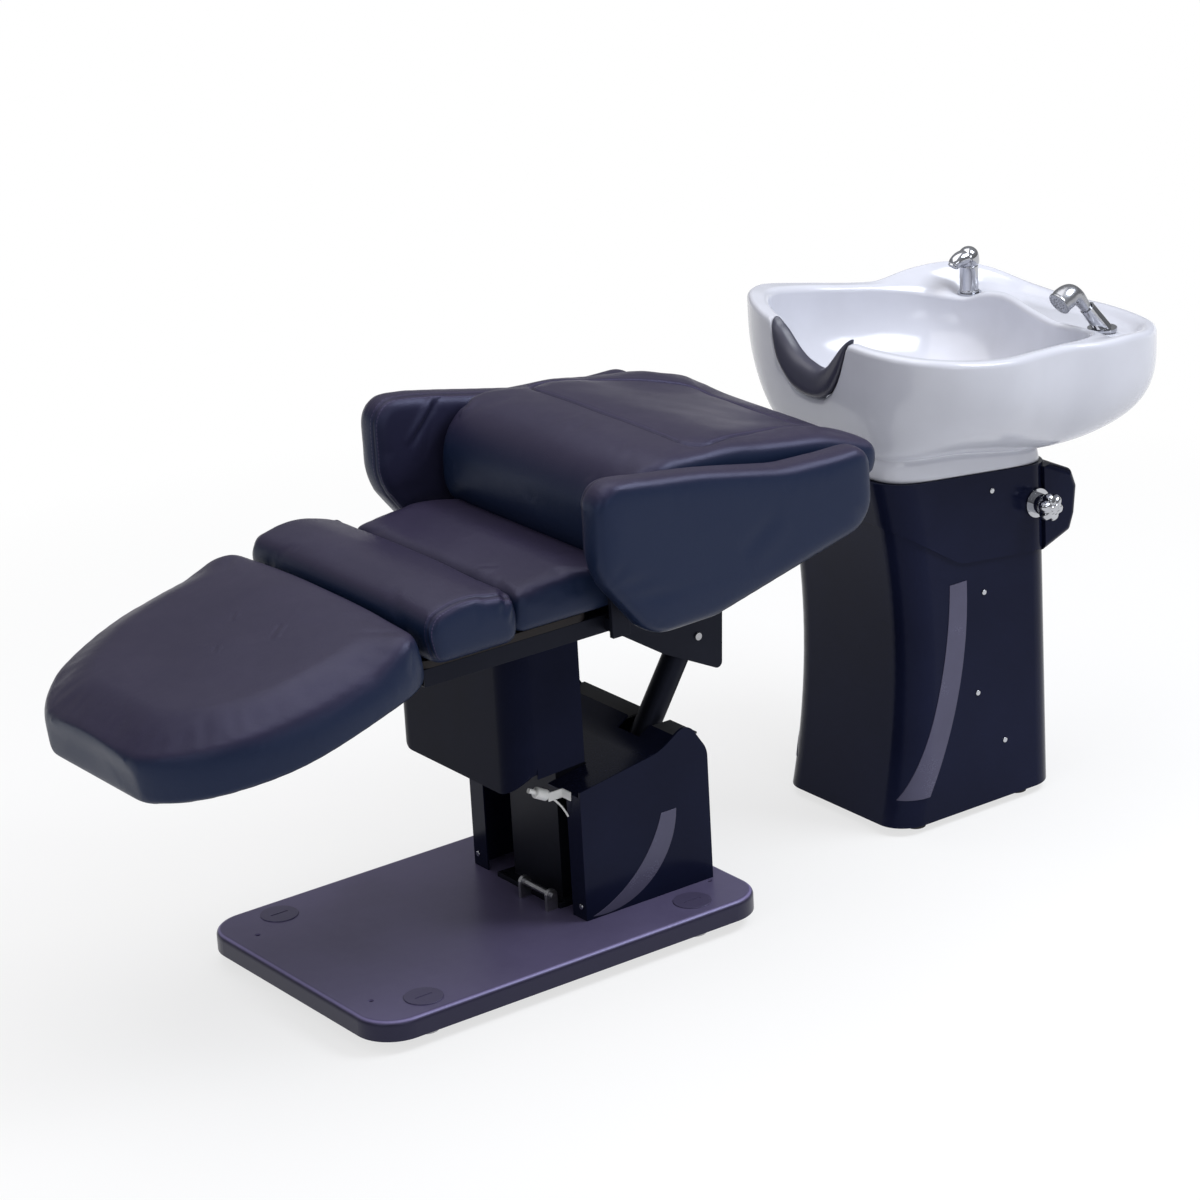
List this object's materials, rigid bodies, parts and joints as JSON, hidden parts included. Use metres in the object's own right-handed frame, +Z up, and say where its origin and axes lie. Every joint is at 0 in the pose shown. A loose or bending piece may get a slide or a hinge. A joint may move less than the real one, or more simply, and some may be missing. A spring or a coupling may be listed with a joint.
{
  "type": "hair washing bed",
  "caption": "Padded washing bed on a lifting column, with reclining back, leg rest, wing arms and floor plate, beside a ceramic basin with taps on a pedestal.",
  "frame": {"origin": "centre of the whole object's outline in plan, on the floor", "axes": "+Z up, +X from the leg rest to the basin, -Y the side of the mixer tap"},
  "size_m": [1.961, 0.64, 0.8462],
  "materials": {
    "upholstery": "satin",
    "cover_navy": "gloss",
    "shell_navy": "gloss",
    "plate_navy": "satin",
    "black_steel": "satin",
    "black_plastic": "matte",
    "trim_violet": "gloss",
    "steel": "brushed",
    "chrome": "polished",
    "satin_chrome": "satin",
    "board": "raw",
    "white_plastic": "gloss",
    "white_ceramic": "glazed",
    "soft_dark": "satin"
  },
  "bodies": {
    "base": {"base_cover": "plate_navy", "base_slab": "black_steel", "foot_caps": "black_plastic", "levelling_feet": "steel", "mast": "black_steel", "mast_glides": "black_plastic", "lift_screw": "steel", "lift_motor": "black_steel", "box_cheek_near": "cover_navy", "box_cheek_far": "cover_navy", "box_top": "cover_navy", "box_back": "cover_navy", "box_seal": "black_plastic", "box_trim": "trim_violet", "box_screws": "chrome", "cross_shaft": "steel", "strut_foot_ears": "black_steel", "strut_foot_pin": "steel", "plug_and_lead": "white_plastic", "pedestal_feet": "black_plastic", "pedestal_floor": "black_steel", "pedestal_shell": "shell_navy", "pedestal_collar": "shell_navy", "pedestal_top": "black_steel", "pedestal_trim": "trim_violet", "pedestal_screws": "chrome", "basin": "white_ceramic", "neck_rest": "soft_dark", "drain_strainer": "chrome", "tail_pipe": "white_plastic", "supply_pipes": "steel", "spout_base": "chrome", "shower_holder": "chrome", "mixer_flange": "chrome"},
    "carriage": {"column": "black_steel", "screw_nut": "steel", "seat_frame": "black_steel", "seat_board": "board", "seat_roll": "upholstery", "seat_cushion": "upholstery", "skirt": "shell_navy", "seat_hinge_plates": "black_steel", "back_hinge_pins": "steel", "leg_hinge_pins": "steel"},
    "leg_rest": {"leg_cushion": "upholstery", "leg_board": "board", "leg_link_lug": "black_steel"},
    "backrest": {"back_cushion": "upholstery", "back_board": "board", "back_frame": "black_steel", "arm_near": "upholstery", "arm_far": "upholstery", "levers": "black_steel", "lever_pin": "steel"},
    "link": {"link_rod": "steel"},
    "actuator_rod": {"strut_rod": "steel"},
    "actuator_tube": {"strut_tube": "black_steel"},
    "spout": {"spout": "chrome"},
    "shower": {"hand_shower": "satin_chrome"},
    "handle": {"mixer_handle": "chrome"}
  },
  "joints": [
    {"name": "seat_lift", "type": "slide", "parent": "base", "child": "carriage", "axis": [0, 0, 1], "range_m": [-0.14, 0]},
    {"name": "back_recline", "type": "hinge", "parent": "carriage", "child": "backrest", "pos_m": [-0.19961, 0, 0.606], "axis": [0, -1, 0], "range_deg": [0, 40.1]},
    {"name": "leg_turn", "type": "hinge", "parent": "carriage", "child": "leg_rest", "pos_m": [-0.55161, 0, 0.533], "axis": [0, -1, 0], "range_deg": [0, 40.1]},
    {"name": "link_turn", "type": "hinge", "parent": "backrest", "child": "link", "pos_m": [-0.21961, 0.215, 0.521], "axis": [0, -1, 0], "range_deg": [-40.1, 0]},
    {"name": "actuator_turn", "type": "hinge", "parent": "backrest", "child": "actuator_rod", "pos_m": [0.05439, -0.05, 0.422], "axis": [0, -1, 0], "range_deg": [-44.2, 0]},
    {"name": "actuator_slide", "type": "slide", "parent": "actuator_rod", "child": "actuator_tube", "axis": [-0.5323, 0, -0.8466], "range_m": [0, 0.092]},
    {"name": "spout_turn", "type": "hinge", "parent": "base", "child": "spout", "pos_m": [0.83039, 0.165, 0.75872], "axis": [0, 0, 1], "range_deg": [-60, 60]},
    {"name": "shower_lift", "type": "slide", "parent": "base", "child": "shower", "axis": [-0.5749, 0.1222, 0.809], "range_m": [0, 0.1]},
    {"name": "mixer_turn", "type": "hinge", "parent": "base", "child": "handle", "pos_m": [0.68439, -0.178, 0.504], "axis": [0, -1, 0], "range_deg": [-50, 50]}
  ],
  "couplings": [
    {"joint": "back_recline", "follows": "seat_lift", "rad_per_m": -4.9867},
    {"joint": "leg_turn", "follows": "seat_lift", "rad_per_m": -4.9867},
    {"joint": "link_turn", "follows": "seat_lift", "rad_per_m": 4.9867},
    {"joint": "actuator_turn", "follows": "seat_lift", "rad_per_m": 5.494},
    {"joint": "actuator_slide", "follows": "seat_lift", "ratio": -0.6557}
  ]
}
